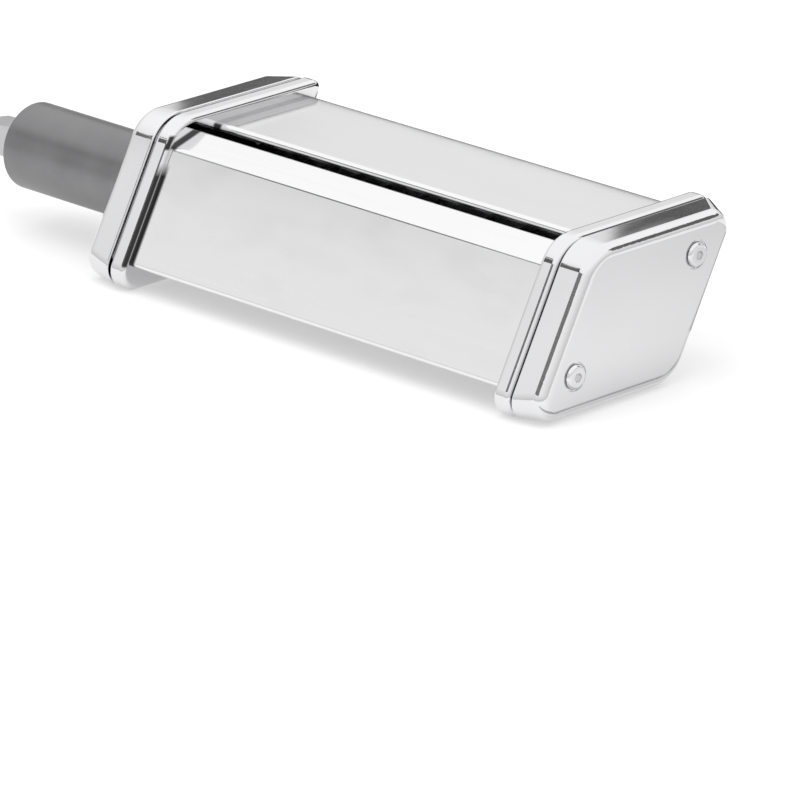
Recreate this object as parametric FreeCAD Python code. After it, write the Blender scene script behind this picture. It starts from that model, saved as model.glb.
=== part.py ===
import FreeCAD, Part
import math
import os

# Pasta cutter head with a round spigot and a driven shank, in millimetres.
# X runs along the rollers, away from the spigot. Z is up. The origin is on the spigot's axis,
# which is also the front roller's axis, at the shoulder of the spigot's collar.

V = FreeCAD.Vector

# Rollers: two rows of discs that run in each other's grooves and shear edge against edge
STRIP_WIDTH = 6.5
STRIP_PAIRS = 11
ROLLER_SPACING = 21.0
DISC_R = 12.4
NIP_GAP = 0.4
SIDE_GAP = 0.3
END_GAP = 0.4
JOURNAL_R = 5.0

# Housing outline, a leaning box with rounded corners
LEAN_DEG = 28.8
FRONT_ROOM = 3.8
REAR_ROOM = 4.0
HEAD_ROOM = 10.6
FRONT_BOTTOM_R = 5.5
REAR_BOTTOM_R = 13.0
REAR_TOP_R = 2.5
FRONT_TOP_R = 12.0
INNER_CORNER_R = 0.5

# End frames and end caps
WEB = 3.0
RIM_WIDTH = 6.0
RIM_EDGE_R = 1.6
GROOVE = 0.8
CAP_DEPTH = 10.3
CAP_STEP = 0.2
CAP_WALL = 2.0
CAP_DRAFT = 0.4
CAP_EDGE_R = 3.2
CAP_CORNER_R = 6.5
CAP_LIP_R = 0.5
TONGUE_LAP = 2.5
TONGUE_WALL = 1.4
POST_R = 3.4

# Covers, folded from sheet
SHEET = 1.0
COVER_INSET = 1.7
COVER_DROP = 4.0
COVER_LIFT = 7.3
FRONT_HEM = 5.0
REAR_HEM = 3.0
HEM_R = 1.1
LIP_DEPTH = 11.0
LIP_RISE = 3.3
CREASE_R = 2.0
INNER_BEND_R = 0.2
CURL_R = 1.4
CURL_DROP = 5.4
REAR_CURL_R = 1.6
REAR_CURL_DROP = 2.0
SLOT_WIDTH = 6.3
REAR_FOLD_R = 1.6
TAB_WIDTH = 8.0
TAB_DEPTH = 2.0
TAB_STEP = 0.2

# Combs that keep the grooves clear
FINGER_GAP = 0.4
FINGER_THICK = 1.8
FINGER_START = -40.0
FRONT_FINGER_END = -118.0
REAR_FINGER_END = -100.0
COMB_BAR_GAP = 0.8
COMB_BAR_THICK = 2.0
COMB_BAR_SPAN = 24.0
COMB_LEG_SPAN = 12.0

# Tie rods between the end frames, with tapped ends
ROD_R = 3.5
FRONT_ROD_GAP = 1.25
REAR_ROD_GAP = 1.8
FRONT_ROD_ANGLE = 219.5
REAR_ROD_ANGLE = 44.0

# Screws
SCREW_R = 2.0
SCREW_BITE = 9.0
HEAD_R = 3.6
HEAD_HEIGHT = 2.0
HEAD_ROUND = 1.2
HEAD_SINK = 0.8
SEAT_GAP = 0.6
SOCKET_FLATS = 2.5
SOCKET_DEPTH = 1.2
PLATE_SCREW_BITE = 7.0
TAP_SPARE = 1.0

# Bushes
BUSH_WALL = 2.0
BUSH_FLANGE = 1.0
BUSH_FLANGE_STEP = 1.5
NOSE_BUSH_LENGTH = 10.0
ROOT_BUSH_LENGTH = 14.0

# Gears that turn the rear roller from the front one
GEAR_TEETH = 14
GEAR_FACE = 5.2
GEAR_BACKLASH = 0.35
GEAR_ROOT_CLEARANCE = 0.4
PRESSURE_ANGLE = 20.0
GEAR_FLAT = 4.2
GEAR_TIP_GAP = 0.8

# Gear plate that carries the spigot
PLATE = 2.8
PLATE_GAP = 0.3

# Spigot and the square shank that takes the drive
SPIGOT_R = 12.7
SPIGOT_LENGTH = 47.0
COLLAR_R = 13.4
COLLAR = 2.5
COLLAR_EDGE_R = 0.5
SPIGOT_ROOT_R = 9.5
SPIGOT_BORE_R = 9.0
SPIGOT_CHAMFER = 1.2
DIMPLE_R = 3.0
DIMPLE_DEPTH = 1.6
SHANK_JOURNAL_R = 6.0
SHANK_SOCKET_R = 7.2
SHANK_SOCKET_LENGTH = 16.0
SHANK_SOCKET_FLOOR = 2.0
SOCKET_PASS = 1.0
SHANK_SQUARE = 10.0
SHANK_TIP_SQUARE = 8.6
SHANK_LENGTH = 16.0
SHANK_CORNER_R = 6.2
PIN_R = 1.5

# Retaining clips
CLIP_THICK = 1.0
CLIP_WIDTH = 2.6
CLIP_GROOVE_DEPTH = 0.8
CLIP_MOUTH_DEG = 70.0
SHAFT_OVERHANG = 2.5

# Clearances
FIT = 0.05
RUN = 0.05
SLIP = 0.1
HOLE_GAP = 0.15

# Values worked out from the driving dimensions
LEAN = math.tan(math.radians(LEAN_DEG))
LEAN_COS = math.cos(math.radians(LEAN_DEG))
STRIPS = 2 * STRIP_PAIRS
CORE_R = ROLLER_SPACING - DISC_R - NIP_GAP
MID_Y = ROLLER_SPACING / 2
HALF_HEIGHT = DISC_R + HEAD_ROOM
END_DEPTH = RIM_WIDTH + GROOVE + CAP_DEPTH
CLEAR_WIDTH = STRIPS * STRIP_WIDTH + 2 * END_GAP
X_DRIVE = COLLAR + END_DEPTH
X_OUTER = X_DRIVE + CLEAR_WIDTH
COVER_TOP = HALF_HEIGHT - COVER_DROP
COVER_FOOT = COVER_LIFT - HALF_HEIGHT
BUSH_R = JOURNAL_R + RUN + BUSH_WALL
BUSH_FLANGE_R = BUSH_R + BUSH_FLANGE_STEP
GEAR_INNER = WEB + BUSH_FLANGE + END_GAP
PLATE_INNER = GEAR_INNER + GEAR_FACE + END_GAP + BUSH_FLANGE
PLATE_OUTER = PLATE_INNER + PLATE
CAP_INNER = END_DEPTH - CAP_WALL
TONGUE_INSET = CAP_STEP + CAP_WALL + CAP_DRAFT * TONGUE_LAP / (CAP_DEPTH - CAP_WALL) + SLIP
INNER_CAP_CORNER_R = CAP_CORNER_R - CAP_WALL
POCKET_CORNER_R = INNER_CAP_CORNER_R - TONGUE_WALL
PLATE_INSET = CAP_STEP + CAP_WALL + CAP_DRAFT + PLATE_GAP
GEAR_MODULE = ROLLER_SPACING / GEAR_TEETH
GEAR_TIP_R = ROLLER_SPACING / 2 + GEAR_MODULE
GEAR_ROOT_R = ROLLER_SPACING / 2 - GEAR_MODULE - GEAR_ROOT_CLEARANCE
FRONT_ROD_ORBIT = DISC_R + FRONT_ROD_GAP + ROD_R
REAR_ROD_ORBIT = DISC_R + REAR_ROD_GAP + ROD_R
PILLAR_ORBIT = GEAR_TIP_R + GEAR_TIP_GAP + POST_R
PILLAR_Z = math.sqrt(PILLAR_ORBIT ** 2 - MID_Y ** 2)
SPIGOT_NOSE = -SPIGOT_LENGTH
NOSE_BUSH_R = SHANK_SOCKET_R + SOCKET_PASS


def polar(centre_y, radius, angle):
    """A (y, z) point on a circle about a roller's axis."""
    turn = math.radians(angle)
    return (centre_y + radius * math.cos(turn), radius * math.sin(turn))


ROD_PLACES = [
    polar(0, FRONT_ROD_ORBIT, FRONT_ROD_ANGLE),
    polar(ROLLER_SPACING, REAR_ROD_ORBIT, REAR_ROD_ANGLE),
]
PILLAR_PLACES = [(MID_Y, PILLAR_Z), (MID_Y, -PILLAR_Z)]


# Small makers used by several pieces

def rod(x1, x2, radius, y=0.0, z=0.0):
    """A round bar along X."""
    return Part.makeCylinder(radius, abs(x2 - x1), V(min(x1, x2), y, z), V(1, 0, 0))


def tube(x1, x2, outer, inner, y=0.0, z=0.0):
    return rod(x1, x2, outer, y, z).cut(rod(x1, x2, inner, y, z))


def rounded_wire(corners, x):
    """A closed wire at one X through (y, z, radius) corners."""
    ends = []
    edges = []
    for k, (y, z, radius) in enumerate(corners):
        here = V(x, y, z)
        last = corners[k - 1]
        after = corners[(k + 1) % len(corners)]
        back = (V(x, last[0], last[1]) - here).normalize()
        ahead = (V(x, after[0], after[1]) - here).normalize()
        half = back.getAngle(ahead) / 2
        middle = (back + ahead).normalize()
        reach = radius / math.tan(half)
        start = here + back * reach
        stop = here + ahead * reach
        crown = here + middle * (radius / math.sin(half) - radius)
        ends.append((start, stop))
        if radius > 0:
            edges.append(Part.Arc(start, crown, stop).toShape())
    for k, (start, stop) in enumerate(ends):
        target = ends[(k + 1) % len(ends)][0]
        if (target - stop).Length > 1e-6:
            edges.append(Part.LineSegment(stop, target).toShape())
    return Part.Wire(Part.__sortEdges__(edges))


def prism(corners, x1, x2):
    return Part.Face(rounded_wire(corners, x1)).extrude(V(x2 - x1, 0, 0))


def face_edges(shape, x):
    """The edges of a shape that lie in the plane at one X."""
    return [e for e in shape.Edges if all(abs(v.X - x) < 1e-6 for v in e.Vertexes)]


def front_y(z, inset=0.0):
    """Where the housing's leaning front is at a height, moved inwards square to itself."""
    return LEAN * z - (DISC_R + FRONT_ROOM - inset) / LEAN_COS


def rear_y(z, inset=0.0):
    return LEAN * z + (DISC_R + REAR_ROOM - inset) / LEAN_COS + ROLLER_SPACING


def outline(inset, least_r=INNER_CORNER_R):
    """Corners of the housing's outline, moved inwards all round, with no corner tighter than the least."""
    low = inset - HALF_HEIGHT
    high = HALF_HEIGHT - inset
    return [
        (front_y(low, inset), low, max(FRONT_BOTTOM_R - inset, least_r)),
        (rear_y(low, inset), low, max(REAR_BOTTOM_R - inset, least_r)),
        (rear_y(high, inset), high, max(REAR_TOP_R - inset, least_r)),
        (front_y(high, inset), high, max(FRONT_TOP_R - inset, least_r)),
    ]


def sector(centre_y, r1, r2, angle1, angle2, x1, x2):
    """A piece of ring about a roller's axis, drawn out along X."""
    half = (angle1 + angle2) / 2
    inner = [V(x1, *polar(centre_y, r1, a)) for a in (angle1, half, angle2)]
    outer = [V(x1, *polar(centre_y, r2, a)) for a in (angle2, half, angle1)]
    edges = [
        Part.Arc(*inner).toShape(),
        Part.LineSegment(inner[-1], outer[0]).toShape(),
        Part.Arc(*outer).toShape(),
        Part.LineSegment(outer[-1], inner[0]).toShape(),
    ]
    return Part.Face(Part.Wire(edges)).extrude(V(x2 - x1, 0, 0))


class End:
    """One end of the housing. Depths count outwards from the face that the covers meet."""

    def __init__(self, inner_x, way):
        self.inner_x = inner_x
        self.way = way

    def x(self, depth):
        return self.inner_x + self.way * depth

    def rod(self, d1, d2, radius, y=0.0, z=0.0):
        return rod(self.x(d1), self.x(d2), radius, y, z)

    def tube(self, d1, d2, outer, inner, y=0.0, z=0.0):
        return tube(self.x(d1), self.x(d2), outer, inner, y, z)

    def prism(self, corners, d1, d2):
        return prism(corners, self.x(d1), self.x(d2))


DRIVE = End(X_DRIVE, -1)
OUTER = End(X_OUTER, 1)


# Covers: sheet folded round the rollers, with a hem below and a curled edge at the feed slot

def sheet_corners(path, side):
    """Closed corners of a folded sheet whose outer face follows the path."""
    lines = []
    for (y1, z1, _), (y2, z2, _) in zip(path, path[1:]):
        length = math.hypot(y2 - y1, z2 - z1)
        across = V(0, side * (z2 - z1), -side * (y2 - y1)) * (SHEET / length)
        lines.append((V(0, y1, z1) + across, V(0, y2, z2) + across))
    inner = [(lines[0][0].y, lines[0][0].z, 0.0)]
    for k in range(1, len(path) - 1):
        a, b = lines[k - 1]
        c, d = lines[k]
        u = b - a
        w = d - c
        cross = u.y * w.z - u.z * w.y
        s = ((c.y - a.y) * w.z - (c.z - a.z) * w.y) / cross
        meet = a + u * s
        inner.append((meet.y, meet.z, max(path[k][2] - SHEET, INNER_BEND_R)))
    inner.append((lines[-1][1].y, lines[-1][1].z, 0.0))
    return list(path) + inner[::-1]


def tab(end, face_y, low, gap):
    """A tongue of the sheet that plugs into the end frame, or its slot when a gap is given."""
    high = low + TAB_WIDTH
    outside = COVER_INSET + TAB_STEP - gap
    inside = COVER_INSET + SHEET + gap
    corners = [
        (face_y(low - gap, outside), low - gap, 0.0),
        (face_y(high + gap, outside), high + gap, 0.0),
        (face_y(high + gap, inside), high + gap, 0.0),
        (face_y(low - gap, inside), low - gap, 0.0),
    ]
    return end.prism(corners, 0, TAB_DEPTH + gap)


def cover_tabs(face_y, end, gap=0.0):
    return [tab(end, face_y, low, gap) for low in (-TAB_WIDTH * 1.5, TAB_WIDTH * 0.5)]


def front_cover():
    crease_z = COVER_TOP - LIP_RISE
    crease_y = front_y(crease_z, COVER_INSET)
    foot_y = front_y(COVER_FOOT, COVER_INSET)
    lip_y = crease_y + LIP_DEPTH
    path = [
        (foot_y + FRONT_HEM, COVER_FOOT, 0.0),
        (foot_y, COVER_FOOT, HEM_R),
        (crease_y, crease_z, CREASE_R),
        (lip_y, COVER_TOP, CURL_R),
        (lip_y, COVER_TOP - CURL_DROP, 0.0),
    ]
    sheet = prism(sheet_corners(path, 1), X_DRIVE, X_OUTER)
    return sheet.multiFuse(cover_tabs(front_y, DRIVE) + cover_tabs(front_y, OUTER)).removeSplitter()


def rear_cover():
    foot_y = rear_y(COVER_FOOT, COVER_INSET)
    slot_y = front_y(COVER_TOP - LIP_RISE, COVER_INSET) + LIP_DEPTH + SLOT_WIDTH
    path = [
        (foot_y - REAR_HEM, COVER_FOOT, 0.0),
        (foot_y, COVER_FOOT, HEM_R),
        (rear_y(COVER_TOP, COVER_INSET), COVER_TOP, REAR_FOLD_R),
        (slot_y, COVER_TOP, REAR_CURL_R),
        (slot_y, COVER_TOP - REAR_CURL_DROP, 0.0),
    ]
    sheet = prism(sheet_corners(path, -1), X_DRIVE, X_OUTER)
    return sheet.multiFuse(cover_tabs(rear_y, DRIVE) + cover_tabs(rear_y, OUTER)).removeSplitter()


# Combs: a bar under each roller with a finger lying in every groove

def comb_bar(centre_y, mirror, finger_end, x1, x2, gap=0.0):
    middle = finger_end + COMB_LEG_SPAN / 2
    r1 = DISC_R + COMB_BAR_GAP - gap
    r2 = DISC_R + COMB_BAR_GAP + COMB_BAR_THICK + gap
    spread = COMB_BAR_SPAN / 2 + math.degrees(gap / r1)
    low, high = mirror(middle - spread), mirror(middle + spread)
    return sector(centre_y, r1, r2, low, high, x1, x2)


def comb(centre_y, mirror, finger_end, first_groove):
    bar = comb_bar(centre_y, mirror, finger_end, DRIVE.x(TAB_DEPTH), OUTER.x(TAB_DEPTH))
    tip_r = CORE_R + FINGER_GAP
    back_r = tip_r + FINGER_THICK
    foot_r = DISC_R + COMB_BAR_GAP + COMB_BAR_THICK / 2
    half_width = (STRIP_WIDTH + SIDE_GAP) / 2 - FINGER_GAP
    fingers = []
    for k in range(STRIP_PAIRS):
        middle = X_DRIVE + END_GAP + (2 * k + first_groove + 0.5) * STRIP_WIDTH
        x1, x2 = middle - half_width, middle + half_width
        fingers.append(sector(centre_y, tip_r, back_r, mirror(FINGER_START), mirror(finger_end), x1, x2))
        leg_end = finger_end + COMB_LEG_SPAN
        fingers.append(sector(centre_y, tip_r, foot_r, mirror(finger_end), mirror(leg_end), x1, x2))
    return bar.multiFuse(fingers).removeSplitter()


def same(angle):
    return angle


def mirrored(angle):
    return 180.0 - angle


def front_comb():
    return comb(0.0, same, FRONT_FINGER_END, 1)


def rear_comb():
    return comb(ROLLER_SPACING, mirrored, REAR_FINGER_END, 0)


# End frames: cast trays with a web for the bearings, a rim that shows and a tongue inside the cap

def end_frame(end):
    tongue_end = RIM_WIDTH + GROOVE + TONGUE_LAP
    rim = end.prism(outline(0.0), 0, RIM_WIDTH)
    rim = rim.makeFillet(RIM_EDGE_R, face_edges(rim, end.x(0)) + face_edges(rim, end.x(RIM_WIDTH)))
    tongue = end.prism(outline(TONGUE_INSET, INNER_CAP_CORNER_R), RIM_WIDTH, tongue_end)
    pocket = end.prism(outline(TONGUE_INSET + TONGUE_WALL, POCKET_CORNER_R), WEB, tongue_end)
    frame = rim.fuse(tongue).cut(pocket)
    holes = [end.rod(0, WEB, BUSH_R + FIT, y) for y in (0.0, ROLLER_SPACING)]
    holes += [end.rod(0, WEB, SCREW_R + HOLE_GAP, y, z) for y, z in ROD_PLACES]
    holes += cover_tabs(front_y, end, SLIP) + cover_tabs(rear_y, end, SLIP)
    slot_end = end.x(TAB_DEPTH + SLIP)
    holes.append(comb_bar(0.0, same, FRONT_FINGER_END, end.x(0), slot_end, SLIP))
    holes.append(comb_bar(ROLLER_SPACING, mirrored, REAR_FINGER_END, end.x(0), slot_end, SLIP))
    return frame.cut(Part.makeCompound(holes))


def drive_end_frame():
    frame = end_frame(DRIVE)
    for y, z in PILLAR_PLACES:
        frame = frame.cut(DRIVE.rod(0, WEB, SCREW_R + HOLE_GAP, y, z))
        wide = Part.makeCone(HEAD_R + SLIP, SCREW_R + SLIP, HEAD_HEIGHT, V(X_DRIVE, y, z), V(-1, 0, 0))
        frame = frame.cut(wide)
    return frame.removeSplitter()


def outer_end_frame():
    return end_frame(OUTER).removeSplitter()


# End caps: deep drawn shells with a soft outer edge, each held by two screws in shallow seats

def drafted_block(end, inset, d1, d2, corner_r, edge_r):
    near = rounded_wire(outline(inset), end.x(d1))
    far = rounded_wire(outline(inset + CAP_DRAFT, corner_r), end.x(d2))
    block = Part.makeLoft([near, far], True, True)
    return block.makeFillet(edge_r, face_edges(block, end.x(d2)))


def cap_shell(end):
    rim = RIM_WIDTH + GROOVE
    outside = drafted_block(end, CAP_STEP, rim, END_DEPTH, CAP_CORNER_R, CAP_EDGE_R)
    outside = outside.makeFillet(CAP_LIP_R, face_edges(outside, end.x(rim)))
    inner_edge_r = max(CAP_EDGE_R - CAP_WALL, INNER_CORNER_R)
    inside = drafted_block(end, CAP_STEP + CAP_WALL, rim, CAP_INNER, INNER_CAP_CORNER_R, inner_edge_r)
    return outside.cut(inside)


def screw_seats(end, start):
    holes = []
    for y, z in ROD_PLACES:
        holes.append(end.rod(start, END_DEPTH, SCREW_R + HOLE_GAP, y, z))
        holes.append(end.rod(END_DEPTH - HEAD_SINK, END_DEPTH + HEAD_SINK, HEAD_R + SEAT_GAP, y, z))
    return holes


def outer_end_cap():
    posts = [OUTER.rod(WEB, CAP_INNER, POST_R, y, z) for y, z in ROD_PLACES]
    cap = cap_shell(OUTER).multiFuse(posts)
    return cap.cut(Part.makeCompound(screw_seats(OUTER, WEB))).removeSplitter()


def drive_end_cap():
    holes = screw_seats(DRIVE, CAP_INNER)
    holes.append(DRIVE.rod(PLATE_OUTER, END_DEPTH, SPIGOT_R + HOLE_GAP))
    holes += [DRIVE.rod(PLATE_OUTER, CAP_INNER, POST_R + SLIP, y, z) for y, z in ROD_PLACES]
    return cap_shell(DRIVE).cut(Part.makeCompound(holes)).removeSplitter()


# Gear plate: a casting inside the drive cap that carries the spigot and the rear shaft's far bush

def gear_plate():
    plate = DRIVE.prism(outline(PLATE_INSET, INNER_CAP_CORNER_R), PLATE_INNER, PLATE_OUTER)
    pillars = [DRIVE.rod(WEB, PLATE_INNER, POST_R, y, z) for y, z in ROD_PLACES + PILLAR_PLACES]
    bosses = [DRIVE.rod(PLATE_OUTER, CAP_INNER, POST_R, y, z) for y, z in ROD_PLACES]
    casting = plate.multiFuse(pillars + bosses)
    holes = [DRIVE.rod(WEB, CAP_INNER, SCREW_R + HOLE_GAP, y, z) for y, z in ROD_PLACES]
    tapped = WEB + PLATE_SCREW_BITE + TAP_SPARE
    holes += [DRIVE.rod(WEB, tapped, SCREW_R + FIT, y, z) for y, z in PILLAR_PLACES]
    holes.append(DRIVE.rod(PLATE_INNER, PLATE_OUTER, SPIGOT_ROOT_R + FIT))
    holes.append(DRIVE.rod(PLATE_INNER, PLATE_OUTER, BUSH_R + FIT, ROLLER_SPACING))
    return casting.cut(Part.makeCompound(holes)).removeSplitter()


# Spigot: a turned tube with a shoulder, a bevelled nose and a dimple for a clamp screw

def hub_spigot():
    body = rod(SPIGOT_NOSE, DRIVE.x(PLATE_OUTER), SPIGOT_R)
    body = body.makeChamfer(SPIGOT_CHAMFER, face_edges(body, SPIGOT_NOSE))
    collar = rod(0, COLLAR, COLLAR_R)
    collar = collar.makeFillet(COLLAR_EDGE_R, face_edges(collar, 0))
    root = DRIVE.rod(PLATE_INNER, PLATE_OUTER, SPIGOT_ROOT_R)
    body = body.multiFuse([collar, root])
    root_bore_end = DRIVE.x(PLATE_INNER) - ROOT_BUSH_LENGTH
    nose_bore_end = SPIGOT_NOSE + NOSE_BUSH_LENGTH
    holes = [
        rod(DRIVE.x(PLATE_INNER), root_bore_end, BUSH_R + FIT),
        rod(root_bore_end, nose_bore_end, SPIGOT_BORE_R),
        rod(nose_bore_end, SPIGOT_NOSE, NOSE_BUSH_R + FIT),
        Part.makeCone(0, DIMPLE_R, DIMPLE_DEPTH, V(SPIGOT_NOSE / 2, SPIGOT_R - DIMPLE_DEPTH, 0), V(0, 1, 0)),
    ]
    return body.cut(Part.makeCompound(holes)).removeSplitter()


# Bushes: plain sleeves, flanged where a gear or clip runs against them

def flanged_bush(end, d1, d2, flange_d, y):
    sleeve = end.rod(d1, d2, BUSH_R, y)
    flange = end.rod(flange_d, flange_d + BUSH_FLANGE, BUSH_FLANGE_R, y)
    bore = end.rod(d1 - BUSH_FLANGE, d2 + BUSH_FLANGE, JOURNAL_R + RUN, y)
    return sleeve.fuse(flange).cut(bore).removeSplitter()


def web_bush(end, y):
    return flanged_bush(end, 0, WEB, WEB, y)


def rear_plate_bush():
    return flanged_bush(DRIVE, PLATE_INNER, PLATE_OUTER, PLATE_INNER - BUSH_FLANGE, ROLLER_SPACING)


def spigot_root_bush():
    start = DRIVE.x(PLATE_INNER)
    return tube(start, start - ROOT_BUSH_LENGTH, BUSH_R, JOURNAL_R + RUN)


def spigot_nose_bush():
    return tube(SPIGOT_NOSE, SPIGOT_NOSE + NOSE_BUSH_LENGTH, NOSE_BUSH_R, SHANK_JOURNAL_R + RUN)


# Tie rods and screws

def tie_rod(place):
    bar = rod(X_DRIVE, X_OUTER, ROD_R, *place)
    taps = [end.rod(-SCREW_BITE - TAP_SPARE, 0, SCREW_R + FIT, *place) for end in (DRIVE, OUTER)]
    return bar.cut(Part.makeCompound(taps))


def hex_socket(x, way, y, z):
    corner_r = SOCKET_FLATS / math.sqrt(3)
    points = [V(x, *polar(y, corner_r, 60 * k)) + V(0, 0, z) for k in range(7)]
    return Part.Face(Part.makePolygon(points)).extrude(V(way * SOCKET_DEPTH, 0, 0))


def cap_screw(end, place):
    y, z = place
    seat = END_DEPTH - HEAD_SINK
    head = end.rod(seat, seat + HEAD_HEIGHT, HEAD_R, y, z)
    top = end.x(seat + HEAD_HEIGHT)
    head = head.makeFillet(HEAD_ROUND, face_edges(head, top))
    shank = end.rod(-SCREW_BITE, seat, SCREW_R, y, z)
    return head.fuse(shank).cut(hex_socket(top, -end.way, y, z)).removeSplitter()


def cap_screws(end):
    return Part.makeCompound([cap_screw(end, place) for place in ROD_PLACES])


def plate_screw(place):
    y, z = place
    head = Part.makeCone(HEAD_R, SCREW_R, HEAD_HEIGHT, V(X_DRIVE, y, z), V(-1, 0, 0))
    shank = DRIVE.rod(HEAD_HEIGHT, WEB + PLATE_SCREW_BITE, SCREW_R, y, z)
    return head.fuse(shank).cut(hex_socket(X_DRIVE, -1, y, z)).removeSplitter()


def gear_plate_screws():
    return Part.makeCompound([plate_screw(place) for place in PILLAR_PLACES])


# Cutter rollers: square-edged discs on a core, turned in one piece with the shaft

def cutter_roller(y, first_disc, drive_tip):
    core = rod(X_DRIVE + END_GAP, X_OUTER - END_GAP, CORE_R, y)
    shaft_end = WEB + BUSH_FLANGE + END_GAP + CLIP_THICK + SHAFT_OVERHANG
    shaft = rod(drive_tip, OUTER.x(shaft_end), JOURNAL_R, y)
    discs = []
    for k in range(STRIP_PAIRS):
        start = X_DRIVE + END_GAP + (2 * k + first_disc) * STRIP_WIDTH
        discs.append(rod(start + SIDE_GAP / 2, start + STRIP_WIDTH - SIDE_GAP / 2, DISC_R, y))
    roller = core.multiFuse([shaft] + discs)
    clip_d = WEB + BUSH_FLANGE + END_GAP
    groove = OUTER.tube(clip_d, clip_d + CLIP_THICK + SLIP, BUSH_R, JOURNAL_R - CLIP_GROOVE_DEPTH, y)
    flat_x = DRIVE.x(GEAR_INNER + GEAR_FACE)
    flat = Part.makeBox(GEAR_FACE, 2 * JOURNAL_R, JOURNAL_R, V(flat_x, y - JOURNAL_R, GEAR_FLAT - FIT))
    return roller.cut(Part.makeCompound([groove, flat]))


SHANK_SOCKET_START = DRIVE.x(PLATE_INNER) - ROOT_BUSH_LENGTH - END_GAP
SHAFT_TIP = SHANK_SOCKET_START - SHANK_SOCKET_LENGTH + SHANK_SOCKET_FLOOR
PIN_X = SHANK_SOCKET_START - SHANK_SOCKET_LENGTH / 2


def front_cutter_roller():
    roller = cutter_roller(0.0, 0, SHAFT_TIP)
    pin_hole = Part.makeCylinder(PIN_R + FIT, 2 * SPIGOT_R, V(PIN_X, 0, -SPIGOT_R), V(0, 0, 1))
    return roller.cut(pin_hole).removeSplitter()


def rear_cutter_roller():
    return cutter_roller(ROLLER_SPACING, 1, DRIVE.x(PLATE_OUTER)).removeSplitter()


def retaining_clip(y):
    start = WEB + BUSH_FLANGE + END_GAP
    inner_r = JOURNAL_R - CLIP_GROOVE_DEPTH + FIT
    x1 = OUTER.x(start)
    mouth = CLIP_MOUTH_DEG / 2
    return sector(y, inner_r, inner_r + CLIP_WIDTH, mouth - 90, 270 - mouth, x1, x1 + CLIP_THICK)


# Spur gears: involute teeth, half a pitch apart so that the pair is in mesh

def involute(angle):
    return math.tan(angle) - angle


def tooth_edges(x, y, turn):
    """One tooth's two flanks and tip, and the root after it, as edges in the plane at x."""
    pitch_r = ROLLER_SPACING / 2
    base_r = pitch_r * math.cos(math.radians(PRESSURE_ANGLE))
    thickness = math.pi * GEAR_MODULE / 2 - GEAR_BACKLASH
    half_pitch = thickness / (2 * pitch_r) + involute(math.radians(PRESSURE_ANGLE))

    def half_width(radius):
        return math.degrees(half_pitch - involute(math.acos(base_r / max(radius, base_r))))

    def point(radius, angle):
        return V(x, *polar(y, radius, turn + angle))

    steps = [base_r + (GEAR_TIP_R - base_r) * k / 3 for k in range(4)]
    rise = [point(r, -half_width(r)) for r in steps]
    fall = [point(r, half_width(r)) for r in reversed(steps)]
    foot = half_width(base_r)
    step = 360.0 / GEAR_TEETH
    root_in = point(GEAR_ROOT_R, -foot)
    root_out = point(GEAR_ROOT_R, foot)
    flanks = []
    for points in (rise, fall):
        curve = Part.BSplineCurve()
        curve.interpolate(points)
        flanks.append(curve.toShape())
    return [
        Part.LineSegment(root_in, rise[0]).toShape(),
        flanks[0],
        Part.Arc(rise[-1], point(GEAR_TIP_R, 0), fall[0]).toShape(),
        flanks[1],
        Part.LineSegment(fall[-1], root_out).toShape(),
        Part.Arc(root_out, point(GEAR_ROOT_R, step / 2), point(GEAR_ROOT_R, step - foot)).toShape(),
    ]


def spur_gear(y, phase):
    x = DRIVE.x(GEAR_INNER + GEAR_FACE)
    edges = []
    for k in range(GEAR_TEETH):
        edges += tooth_edges(x, y, phase + k * 360.0 / GEAR_TEETH)
    blank = Part.Face(Part.Wire(edges)).extrude(V(GEAR_FACE, 0, 0))
    bore = rod(x, x + GEAR_FACE, JOURNAL_R + FIT, y)
    key = Part.makeBox(GEAR_FACE, 2 * JOURNAL_R, JOURNAL_R, V(x, y - JOURNAL_R, GEAR_FLAT))
    return blank.cut(bore.cut(key))


def front_gear():
    return spur_gear(0.0, 0.0)


def rear_gear():
    return spur_gear(ROLLER_SPACING, 180.0 / GEAR_TEETH)


# Drive shank: a socket pinned to the front roller's shaft, a journal and a tapered square

def square_wire(across, x):
    half = across / 2
    return Part.makePolygon([V(x, a * half, b * half) for a, b in ((1, 1), (-1, 1), (-1, -1), (1, -1), (1, 1))])


def drive_shank():
    socket_end = SHANK_SOCKET_START - SHANK_SOCKET_LENGTH
    square_start = SPIGOT_NOSE - END_GAP
    tip = square_start - SHANK_LENGTH
    socket = rod(SHANK_SOCKET_START, socket_end, SHANK_SOCKET_R)
    journal = rod(socket_end, square_start, SHANK_JOURNAL_R)
    taper = Part.makeLoft([square_wire(SHANK_SQUARE, square_start), square_wire(SHANK_TIP_SQUARE, tip)], True, True)
    round_bar = rod(square_start, tip, SHANK_CORNER_R)
    round_bar = round_bar.makeChamfer(SPIGOT_CHAMFER, face_edges(round_bar, tip))
    shank = socket.multiFuse([journal, taper.common(round_bar)])
    bore = rod(SHANK_SOCKET_START, SHAFT_TIP - FIT, JOURNAL_R + FIT)
    pin_hole = Part.makeCylinder(PIN_R + FIT, 2 * SPIGOT_R, V(PIN_X, 0, -SPIGOT_R), V(0, 0, 1))
    return shank.cut(Part.makeCompound([bore, pin_hole])).removeSplitter()


def shank_pin():
    length = 2 * SHANK_SOCKET_R - 2 * PIN_R / SHANK_SOCKET_R
    return Part.makeCylinder(PIN_R, length, V(PIN_X, 0, -length / 2), V(0, 0, 1))


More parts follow.
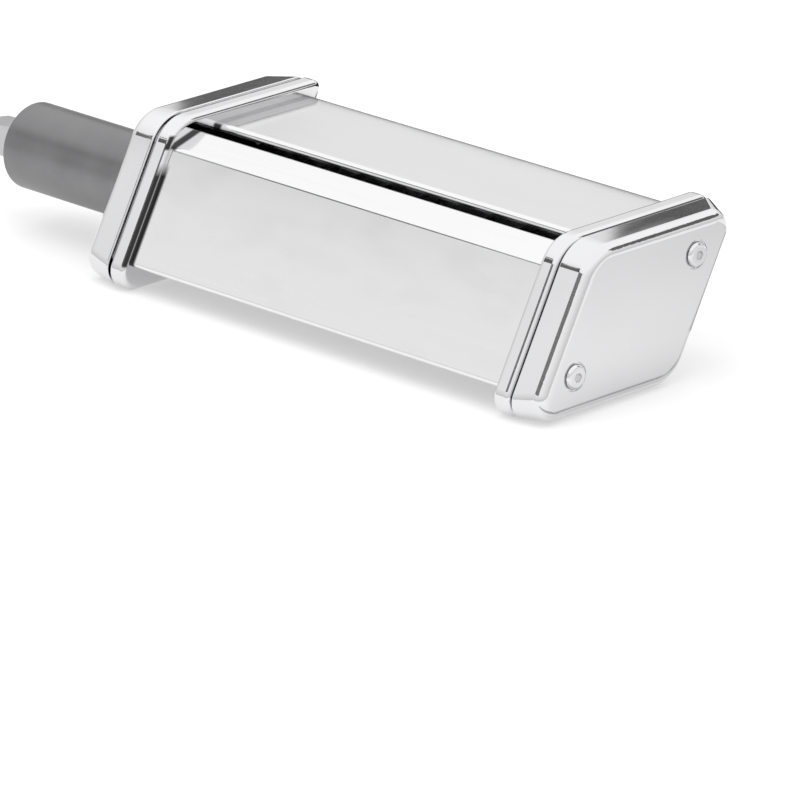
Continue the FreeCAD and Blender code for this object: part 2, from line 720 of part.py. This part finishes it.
PIECES = {
    "drive_end_frame": drive_end_frame,
    "outer_end_frame": outer_end_frame,
    "drive_end_cap": drive_end_cap,
    "outer_end_cap": outer_end_cap,
    "front_cover": front_cover,
    "rear_cover": rear_cover,
    "front_tie_rod": lambda: tie_rod(ROD_PLACES[0]),
    "rear_tie_rod": lambda: tie_rod(ROD_PLACES[1]),
    "front_comb": front_comb,
    "rear_comb": rear_comb,
    "front_drive_bush": lambda: web_bush(DRIVE, 0.0),
    "rear_drive_bush": lambda: web_bush(DRIVE, ROLLER_SPACING),
    "front_outer_bush": lambda: web_bush(OUTER, 0.0),
    "rear_outer_bush": lambda: web_bush(OUTER, ROLLER_SPACING),
    "rear_plate_bush": rear_plate_bush,
    "spigot_root_bush": spigot_root_bush,
    "spigot_nose_bush": spigot_nose_bush,
    "gear_plate": gear_plate,
    "hub_spigot": hub_spigot,
    "drive_cap_screws": lambda: cap_screws(DRIVE),
    "outer_cap_screws": lambda: cap_screws(OUTER),
    "gear_plate_screws": gear_plate_screws,
    "front_cutter_roller": front_cutter_roller,
    "front_gear": front_gear,
    "front_outer_clip": lambda: retaining_clip(0.0),
    "drive_shank": drive_shank,
    "shank_pin": shank_pin,
    "rear_cutter_roller": rear_cutter_roller,
    "rear_gear": rear_gear,
    "rear_outer_clip": lambda: retaining_clip(ROLLER_SPACING),
}

os.makedirs("parts", exist_ok=True)
for name, make in PIECES.items():
    shape = make()
    shape.exportStep("parts/" + name + ".step")
    print(name, len(shape.Solids), round(shape.Volume, 1), shape.isValid())
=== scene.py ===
import math

import bmesh
import bpy
from mathutils import Matrix, Vector


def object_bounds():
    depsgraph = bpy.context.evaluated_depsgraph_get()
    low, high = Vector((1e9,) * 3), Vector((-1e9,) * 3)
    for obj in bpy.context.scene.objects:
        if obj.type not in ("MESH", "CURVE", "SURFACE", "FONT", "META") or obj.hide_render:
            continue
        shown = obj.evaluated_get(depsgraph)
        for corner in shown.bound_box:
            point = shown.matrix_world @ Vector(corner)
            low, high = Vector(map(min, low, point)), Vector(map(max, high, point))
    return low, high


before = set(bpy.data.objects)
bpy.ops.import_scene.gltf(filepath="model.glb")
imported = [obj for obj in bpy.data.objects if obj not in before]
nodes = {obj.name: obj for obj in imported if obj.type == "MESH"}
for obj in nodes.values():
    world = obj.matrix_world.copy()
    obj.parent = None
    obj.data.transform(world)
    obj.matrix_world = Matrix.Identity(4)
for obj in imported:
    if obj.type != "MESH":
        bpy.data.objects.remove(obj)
cad_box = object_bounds()


# Cutter rollers
# Each is one bar of steel, turned to a row of square discs and ground so that its edges shear
# against the other roller's. The tool leaves fine rings round the axis.

class Value:
    """A shader socket that Python's operators work on."""

    def __init__(self, owner, socket):
        self.owner = owner
        self.socket = socket

    def maths(self, operation, a, b):
        return self.owner.node("ShaderNodeMath", {"operation": operation}, {0: a, 1: b})

    def __add__(self, other):
        return self.maths("ADD", self, other)

    __radd__ = __add__

    def __sub__(self, other):
        return self.maths("SUBTRACT", self, other)

    def __rsub__(self, other):
        return self.maths("SUBTRACT", other, self)

    def __mul__(self, other):
        return self.maths("MULTIPLY", self, other)

    __rmul__ = __mul__


class Nodes:
    """A node tree while it is put together."""

    def __init__(self, tree):
        self.tree = tree

    def feed(self, socket, value):
        if isinstance(value, Value):
            self.tree.links.new(value.socket, socket)
        else:
            socket.default_value = value

    def node(self, kind, settings=None, inputs=None, output=0):
        made = self.tree.nodes.new(kind)
        settings = dict(settings or {})
        stops = settings.pop("stops", ())
        for key, value in settings.items():
            setattr(made, key, value)
        for number, (position, level) in enumerate(stops):
            element = made.color_ramp.elements[number]
            element.position = position
            element.color = (level, level, level, 1.0)
        for key, value in (inputs or {}).items():
            self.feed(made.inputs[key], value)
        return Value(self, made.outputs[output])


class Finish(Nodes):
    """A surface, which its pieces share."""

    def __init__(self, name, metallic=1.0):
        self.material = bpy.data.materials.new(name)
        self.material.use_nodes = True
        super().__init__(self.material.node_tree)
        self.shader = self.tree.nodes["Principled BSDF"]
        self.shader.inputs["Metallic"].default_value = metallic
        self.place = self.node("ShaderNodeTexCoord", output="Object")

    def axis(self, name):
        return self.node("ShaderNodeSeparateXYZ", None, {"Vector": self.place}, output=name)

    def noise(self, scale, detail, stretch=(1.0, 1.0, 1.0)):
        """Soft grey noise from 0 to 1. The scale is in spots per metre."""
        place = self.node("ShaderNodeMapping", None, {"Vector": self.place, "Scale": stretch})
        return self.node("ShaderNodeTexNoise", None, {"Vector": place, "Scale": scale, "Detail": detail})

    def ramp(self, value, first_stop, last_stop):
        """The value through a colour ramp. A stop is a position and a grey."""
        return self.node("ShaderNodeValToRGB", {"stops": (first_stop, last_stop)}, {"Fac": value})

    def blend(self, mask, first, second):
        """A colour that goes from the first to the second with the mask."""
        ends = [colour if isinstance(colour, Value) else (*colour, 1.0) for colour in (first, second)]
        inputs = {0: mask, 6: ends[0], 7: ends[1]}
        return self.node("ShaderNodeMix", {"data_type": "RGBA"}, inputs, output=2)

    def slope(self, value, zero, one):
        """From 0 to 1 as the value goes from the first mark to the second."""
        marks = {"Value": value, "From Min": zero, "From Max": one}
        return self.node("ShaderNodeMapRange", None, marks)

    def relief(self, height, depth, strength):
        inputs = {"Height": height, "Distance": depth, "Strength": strength}
        self.feed(self.shader.inputs["Normal"], self.node("ShaderNodeBump", None, inputs))

    def surface(self, colour, roughness):
        self.feed(self.shader.inputs["Base Color"], colour)
        self.feed(self.shader.inputs["Roughness"], roughness)


def dress(material, *names):
    """Gives CAD nodes this material."""
    for name in names:
        slots = nodes[name].data.materials
        slots.clear()
        slots.append(material)


RING_ROUGHNESS = 0.10
HANDLED_ROUGHNESS = 0.12


def turned_steel(name, dark, light, roughness):
    """Steel from the lathe, with rings that stand square to the X axis."""
    finish = Finish(name)
    rings = finish.noise(scale=1.0, detail=4.0, stretch=(5200.0, 60.0, 60.0))
    clouds = finish.noise(scale=70.0, detail=4.0)
    rough = roughness + rings * RING_ROUGHNESS + clouds * HANDLED_ROUGHNESS
    finish.surface(finish.blend(clouds, dark, light), rough)
    finish.relief(rings, depth=0.00003, strength=0.35)
    return finish.material


cutter_steel = turned_steel(
    "ground_cutter_steel", dark=(0.52, 0.52, 0.53), light=(0.70, 0.70, 0.71), roughness=0.16)
dress(cutter_steel, "front_cutter_roller", "rear_cutter_roller")


# Bearings
# The bushes are pressed from bronze powder, so they are full of pores that hold oil, and they are
# darker in patches where the oil has come out.

OILED_BRONZE = (0.34, 0.22, 0.09)
DRY_BRONZE = (0.66, 0.48, 0.24)
BRONZE_ROUGHNESS = 0.52
PORE_SHINE = 0.16


def sintered_bronze():
    finish = Finish("sintered_bronze")
    pores = finish.ramp(finish.noise(scale=2600.0, detail=2.0), (0.42, 0.0), (0.60, 1.0))
    oil = finish.noise(scale=160.0, detail=3.0)
    finish.surface(finish.blend(oil, OILED_BRONZE, DRY_BRONZE), BRONZE_ROUGHNESS - pores * PORE_SHINE)
    finish.relief(pores, depth=0.00005, strength=0.5)
    return finish.material


dress(sintered_bronze(), "front_drive_bush", "rear_drive_bush", "front_outer_bush", "rear_outer_bush",
      "rear_plate_bush", "spigot_root_bush", "spigot_nose_bush")


# Gears, clips and the drive shank
# The gears are cut from steel bar and run in oil behind the drive cap. The clips are blanked from
# spring steel. The shank is milled square and pinned to the front roller.

gear_steel = turned_steel(
    "oiled_gear_steel", dark=(0.30, 0.29, 0.28), light=(0.46, 0.45, 0.44), roughness=0.22)
dress(gear_steel, "front_gear", "rear_gear", "front_outer_clip", "rear_outer_clip")
shank_steel = turned_steel(
    "milled_shank_steel", dark=(0.42, 0.42, 0.43), light=(0.60, 0.60, 0.61), roughness=0.24)
dress(shank_steel, "drive_shank", "shank_pin")


# Combs and tie rods
# The combs are stamped from stainless sheet, bent round the rollers and slotted into both end
# frames. The tie rods are drawn bar, tapped at both ends, which hold the frames apart.

GRAIN_ROUGHNESS = 0.12
CLOUD_ROUGHNESS = 0.08


def drawn_steel(name, dark, light, roughness):
    """Steel drawn or rolled lengthwise, with its grain along the X axis."""
    finish = Finish(name)
    grain = finish.noise(scale=1.0, detail=5.0, stretch=(45.0, 3000.0, 3000.0))
    clouds = finish.noise(scale=60.0, detail=4.0)
    rough = roughness + grain * GRAIN_ROUGHNESS + clouds * CLOUD_ROUGHNESS
    finish.surface(finish.blend(clouds, dark, light), rough)
    finish.relief(grain, depth=0.00002, strength=0.3)
    return finish.material


comb_steel = drawn_steel(
    "stamped_comb_steel", dark=(0.54, 0.54, 0.55), light=(0.68, 0.68, 0.69), roughness=0.22)
dress(comb_steel, "front_comb", "rear_comb")
rod_steel = drawn_steel(
    "drawn_rod_steel", dark=(0.56, 0.56, 0.57), light=(0.70, 0.70, 0.71), roughness=0.18)
dress(rod_steel, "front_tie_rod", "rear_tie_rod")


# End frames and gear plate
# The frames are die castings, polished and plated bright, and their rims show beside the covers.
# The gear plate is the same alloy left as it was cast, because the drive cap hides it.

drive_face = max(corner.co.x for corner in nodes["drive_end_frame"].data.vertices)
cover_heights = [corner.co.z for corner in nodes["front_cover"].data.vertices]
# Painted shade: a near-black colour laid along the seam where the covers meet the drive frame, standing
# in for shadow and dark reflections there.
PAINTED_SEAM_SHADE = (0.04, 0.04, 0.04)
SEAM_SHADE_ROUGHNESS = 0.15
SEAM_SHADE_EDGE = 0.0006
SHADE_GAP_FROM = 0.0102
SHADE_GAP_FULL = 0.0068
LIP_SHADE_FROM = 0.0036
LIP_SHADE_FULL = 0.0030


def seam_shade_mask(finish, start, full, fading, end):
    """A mask for painted shade, a dark stripe along the seam at the drive frame's face that stands in for
    shadow and dark reflections there. It is full low down and on the lip, and left out in a band just
    below the lip.

    The four marks lie along X from the drive frame's face.
    """
    off = finish.axis("X") - drive_face
    height = finish.axis("Z")
    foot = min(cover_heights)
    top = max(cover_heights)
    beside = finish.slope(height, foot, foot + SEAM_SHADE_EDGE) * finish.slope(height, top + SEAM_SHADE_EDGE, top)
    shade_gap = finish.slope(height, top - SHADE_GAP_FROM, top - SHADE_GAP_FULL)
    below_lip = finish.slope(height, top - LIP_SHADE_FULL, top - LIP_SHADE_FROM)
    streak = finish.slope(off, start, full) * finish.slope(off, end, fading)
    return streak * beside * (1.0 - shade_gap * below_lip)


WIPING_ROUGHNESS = 0.03


def bright_plate(name, dark, light, roughness):
    """Bright plating over a polished shell: nearly a mirror, with faint wiping marks and a stripe of
    painted shade at the drive frame's inner edge.
    """
    finish = Finish(name)
    rubs = finish.noise(scale=1.0, detail=3.0, stretch=(160.0, 40.0, 260.0))
    wiping = finish.ramp(rubs, (0.45, 0.0), (0.75, 1.0))
    waves = finish.noise(scale=30.0, detail=1.0)
    # Painted shade along the drive frame's inner edge beside the covers, standing in for shadow and dark
    # reflections in the seam.
    seam_shade = seam_shade_mask(finish, start=-0.0014, full=-0.0008, fading=-0.0002, end=0.0)
    plating = finish.blend(waves, dark, light)
    rough = roughness + wiping * WIPING_ROUGHNESS + seam_shade * SEAM_SHADE_ROUGHNESS
    finish.surface(finish.blend(seam_shade, plating, PAINTED_SEAM_SHADE), rough)
    finish.relief(waves, depth=0.0004, strength=0.04)
    return finish.material


DULL_ALLOY = (0.42, 0.43, 0.44)
CLEAN_ALLOY = (0.58, 0.59, 0.60)
ALLOY_ROUGHNESS = 0.42
SKIN_ROUGHNESS = 0.2


def cast_alloy():
    finish = Finish("cast_alloy")
    skin = finish.noise(scale=900.0, detail=4.0)
    clouds = finish.noise(scale=50.0, detail=3.0)
    finish.surface(finish.blend(clouds, DULL_ALLOY, CLEAN_ALLOY), ALLOY_ROUGHNESS + skin * SKIN_ROUGHNESS)
    finish.relief(skin, depth=0.00012, strength=0.5)
    return finish.material


plated_frame = bright_plate(
    "plated_frame", dark=(0.70, 0.70, 0.71), light=(0.78, 0.78, 0.79), roughness=0.05)
dress(plated_frame, "drive_end_frame", "outer_end_frame")
dress(cast_alloy(), "gear_plate")


# Covers
# Each cover is one piece of stainless sheet, polished, folded round the rollers and hemmed below.
# The rolling grain of the sheet still shows, along the covers.

DARK_GRAIN = (0.77, 0.77, 0.775)
LIGHT_GRAIN = (0.82, 0.82, 0.825)
SHEET_ROUGHNESS = 0.11
SHEET_GRAIN_ROUGHNESS = 0.05
SMEAR_ROUGHNESS = 0.03


def polished_sheet():
    finish = Finish("polished_sheet")
    grain = finish.noise(scale=1.0, detail=3.0, stretch=(18.0, 1300.0, 1300.0))
    patches = finish.noise(scale=1.0, detail=2.0, stretch=(45.0, 110.0, 110.0))
    smears = finish.ramp(patches, (0.48, 0.0), (0.72, 1.0))
    waves = finish.noise(scale=22.0, detail=1.0)
    # Painted shade along the covers' ends at the drive frame, standing in for shadow and dark reflections
    # in the seam.
    seam_shade = seam_shade_mask(finish, start=-0.0040, full=-0.0030, fading=0.0011, end=0.0020)
    steel = finish.blend(grain, DARK_GRAIN, LIGHT_GRAIN)
    rubbed = SHEET_ROUGHNESS + grain * SHEET_GRAIN_ROUGHNESS + smears * SMEAR_ROUGHNESS
    finish.surface(finish.blend(seam_shade, steel, PAINTED_SEAM_SHADE), rubbed + seam_shade * SEAM_SHADE_ROUGHNESS)
    finish.relief(waves, depth=0.0004, strength=0.05)
    return finish.material


dress(polished_sheet(), "front_cover", "rear_cover")


# Spigot
# A steel tube, turned with a shoulder and a bevelled nose and left satin. It is pressed into the
# gear plate, and its bore holds two of the bushes.

# The base colour is darkened as painted shade, standing in for the shadow and dark reflections of the
# mixer round the spigot.
shade_darkened_spigot_steel = turned_steel(
    "satin_spigot_steel", dark=(0.17, 0.17, 0.175), light=(0.28, 0.28, 0.285), roughness=0.26)
dress(shade_darkened_spigot_steel, "hub_spigot")


# End caps
# Deep shells drawn from sheet with a soft edge all round, polished and plated bright. They slip over
# the frames' tongues and leave a thin groove beside the rims.

plated_cap = bright_plate(
    "plated_cap", dark=(0.70, 0.70, 0.71), light=(0.78, 0.78, 0.79), roughness=0.07)
dress(plated_cap, "drive_end_cap", "outer_end_cap")


# Screws
# Low round heads with a small hexagon socket, plated like the caps. The cap screws go into the tie
# rods' tapped ends, and two flush ones hold the gear plate to the drive end frame.

plated_screw = bright_plate(
    "plated_screw", dark=(0.66, 0.66, 0.67), light=(0.80, 0.80, 0.81), roughness=0.12)
dress(plated_screw, "drive_cap_screws", "outer_cap_screws", "gear_plate_screws")


# Floor, studio and camera
# A white floor under a soft sky that is brighter overhead, and one soft box, which metal doesn't
# mirror. Dark cards stand round the part where bright metal would be white all over, and only
# reflections see them.

def stage_sheet(name, place, material):
    """A flat sheet from -1 to 1 that is set in place by a matrix and isn't part of the object."""
    grid = bmesh.new()
    bmesh.ops.create_grid(grid, x_segments=1, y_segments=1, size=1.0)
    bmesh.ops.transform(grid, matrix=place, verts=grid.verts)
    data = bpy.data.meshes.new(name)
    grid.to_mesh(data)
    grid.free()
    data.materials.append(material)
    sheet = bpy.data.objects.new(name, data)
    bpy.context.collection.objects.link(sheet)
    return sheet


WHITE = (1.0, 1.0, 1.0, 1.0)
FLOOR_PAINT = (0.90, 0.90, 0.90, 1.0)
FLOOR_ROUGHNESS = 0.6
FLOOR_GLOW = 0.45
FLOOR_HALF = 6.0
floor_level = cad_box[0].z


def white_floor():
    finish = Finish("white_floor", metallic=0.0)
    finish.surface(FLOOR_PAINT, FLOOR_ROUGHNESS)
    seen = (finish.node("ShaderNodeLightPath", output="Is Camera Ray")
            + finish.node("ShaderNodeLightPath", output="Is Glossy Ray")
            + finish.node("ShaderNodeLightPath", output="Is Transmission Ray"))
    glow = finish.node("ShaderNodeEmission", None, {"Color": WHITE, "Strength": 1.0})
    shade = Value(finish, finish.shader.outputs["BSDF"])
    mixed = finish.node("ShaderNodeMixShader", None, {0: seen * FLOOR_GLOW, 1: shade, 2: glow})
    finish.feed(finish.tree.nodes["Material Output"].inputs["Surface"], mixed)
    return finish.material


ground = Matrix.Translation((0.0, 0.0, floor_level))
stage_sheet("floor", ground @ Matrix.Diagonal((FLOOR_HALF, FLOOR_HALF, 1.0, 1.0)), white_floor())

HORIZON_LEVEL = 0.71
OVERHEAD_LEVEL = 1.20
OVERHEAD_RISE = 0.65
world = bpy.data.worlds.new("studio")
bpy.context.scene.world = world
world.use_nodes = True
sky = Nodes(world.node_tree)
way = sky.node("ShaderNodeTexCoord", output="Generated")
rise = sky.node("ShaderNodeSeparateXYZ", None, {"Vector": way}, output="Z")
brightness = sky.node("ShaderNodeMapRange", None, {
    "Value": rise,
    "From Min": 0.0,
    "From Max": OVERHEAD_RISE,
    "To Min": HORIZON_LEVEL,
    "To Max": OVERHEAD_LEVEL,
})
background = sky.tree.nodes["Background"]
sky.feed(background.inputs["Color"], WHITE)
sky.feed(background.inputs["Strength"], brightness)


def aimed(spot, target):
    """A placement at the spot that looks at the target."""
    turn = (Vector(target) - Vector(spot)).to_track_quat("-Z", "Y")
    return Matrix.Translation(spot) @ turn.to_matrix().to_4x4()


MIDDLE = Vector((0.0915, 0.0072, -0.0014))


def from_middle(azimuth, elevation, distance):
    """A point that lies this way from the part's middle. The angles are in degrees."""
    a = math.radians(azimuth)
    e = math.radians(elevation)
    way_out = Vector((math.sin(a) * math.cos(e), -math.cos(a) * math.cos(e), math.sin(e)))
    return MIDDLE + distance * way_out


def facing_middle(azimuth, elevation, distance=1.0):
    """A placement there that looks at the part's middle."""
    return aimed(from_middle(azimuth, elevation, distance), MIDDLE)


light = bpy.data.lights.new("top_box", "AREA")
light.shape = "SQUARE"
light.size = 1.2
light.energy = 9.0
lamp = bpy.data.objects.new("top_box", light)
lamp.matrix_world = facing_middle(azimuth=-30.0, elevation=75.0, distance=1.4)
lamp.visible_glossy = False
bpy.context.collection.objects.link(lamp)


def dark_card(name, place, width, height, level, rear_level=None):
    """A grey card that only reflections see. A mat on the floor may change its grey towards the rear."""
    card = Finish(name, metallic=0.0)
    shade = (level, level, level, 1.0)
    if rear_level is not None:
        front = place.translation.y - height / 2
        back = card.slope(card.axis("Y"), front, front + height)
        shade = card.blend(back, (level, level, level), (rear_level, rear_level, rear_level))
    card.surface(shade, 1.0)
    card.shader.inputs["Specular IOR Level"].default_value = 0.0
    sheet = stage_sheet(name, place @ Matrix.Diagonal((width / 2, height / 2, 1.0, 1.0)), card.material)
    sheet.visible_camera = False
    sheet.visible_diffuse = False
    sheet.visible_shadow = False


PANEL_CARD_TURN = math.radians(27.0)
panel_place = facing_middle(-46.0, 29.6) @ Matrix.Rotation(PANEL_CARD_TURN, 4, "Z")
dark_card("rear_left_card", facing_middle(-136.0, 7.0), width=0.50, height=0.16, level=0.10)
dark_card("right_rear_card", facing_middle(146.0, 30.0), width=0.40, height=0.30, level=0.12)
dark_card("panel_card", panel_place, width=0.46, height=0.115, level=0.12)
dark_card("crease_card", facing_middle(-52.0, 33.0), width=0.16, height=0.10, level=0.06)
dark_card("front_card", facing_middle(-10.0, 30.0), width=0.70, height=0.20, level=0.20)
dark_card("outer_cap_card", facing_middle(-143.6, 23.2, 0.976), width=0.05, height=0.06, level=0.08)
dark_card("drive_cap_card", facing_middle(-131.0, 13.7, 1.079), width=0.064, height=0.075, level=0.10)
dark_card("rear_edge_strip", facing_middle(180.0, 25.0, 0.0540), width=0.17, height=0.0045, level=0.05)

MAT_LIFT = 0.0002


def on_floor(x, y, sheets_below=0):
    """A placement that lies on the floor, or on other mats there."""
    return Matrix.Translation((x, y, floor_level + MAT_LIFT * (sheets_below + 1)))


dark_card("rear_mat", on_floor(0.090, 0.100), width=0.22, height=0.08, level=0.30)
dark_card("side_mat", on_floor(0.241, 0.060), width=0.12, height=0.26, level=0.84, rear_level=0.54)
# Painted shadow: a dark strip by the part's foot, which the caps' lower edges mirror, standing in for the
# contact shadow on the floor there.
dark_card("foot_shadow_strip", on_floor(0.186, 0.020, sheets_below=1), width=0.003, height=0.12, level=0.40)

FOCAL_LENGTH = 327.1
VIEW_AZIMUTH = 45.0
VIEW_ELEVATION = 18.4
CAMERA_DISTANCE = 2.0
AIM_RIGHT = 0.0021
AIM_DOWN = 0.0410
camera_data = bpy.data.cameras.new("camera")
camera_data.lens = FOCAL_LENGTH
camera = bpy.data.objects.new("camera", camera_data)
camera_spot = from_middle(VIEW_AZIMUTH, VIEW_ELEVATION, CAMERA_DISTANCE)
camera_turn = aimed(camera_spot, MIDDLE).to_3x3()
aim = MIDDLE + camera_turn @ Vector((AIM_RIGHT, -AIM_DOWN, 0.0))
camera.matrix_world = aimed(camera_spot, aim)
bpy.context.collection.objects.link(camera)
bpy.context.scene.camera = camera
bpy.context.scene.view_settings.view_transform = "Standard"
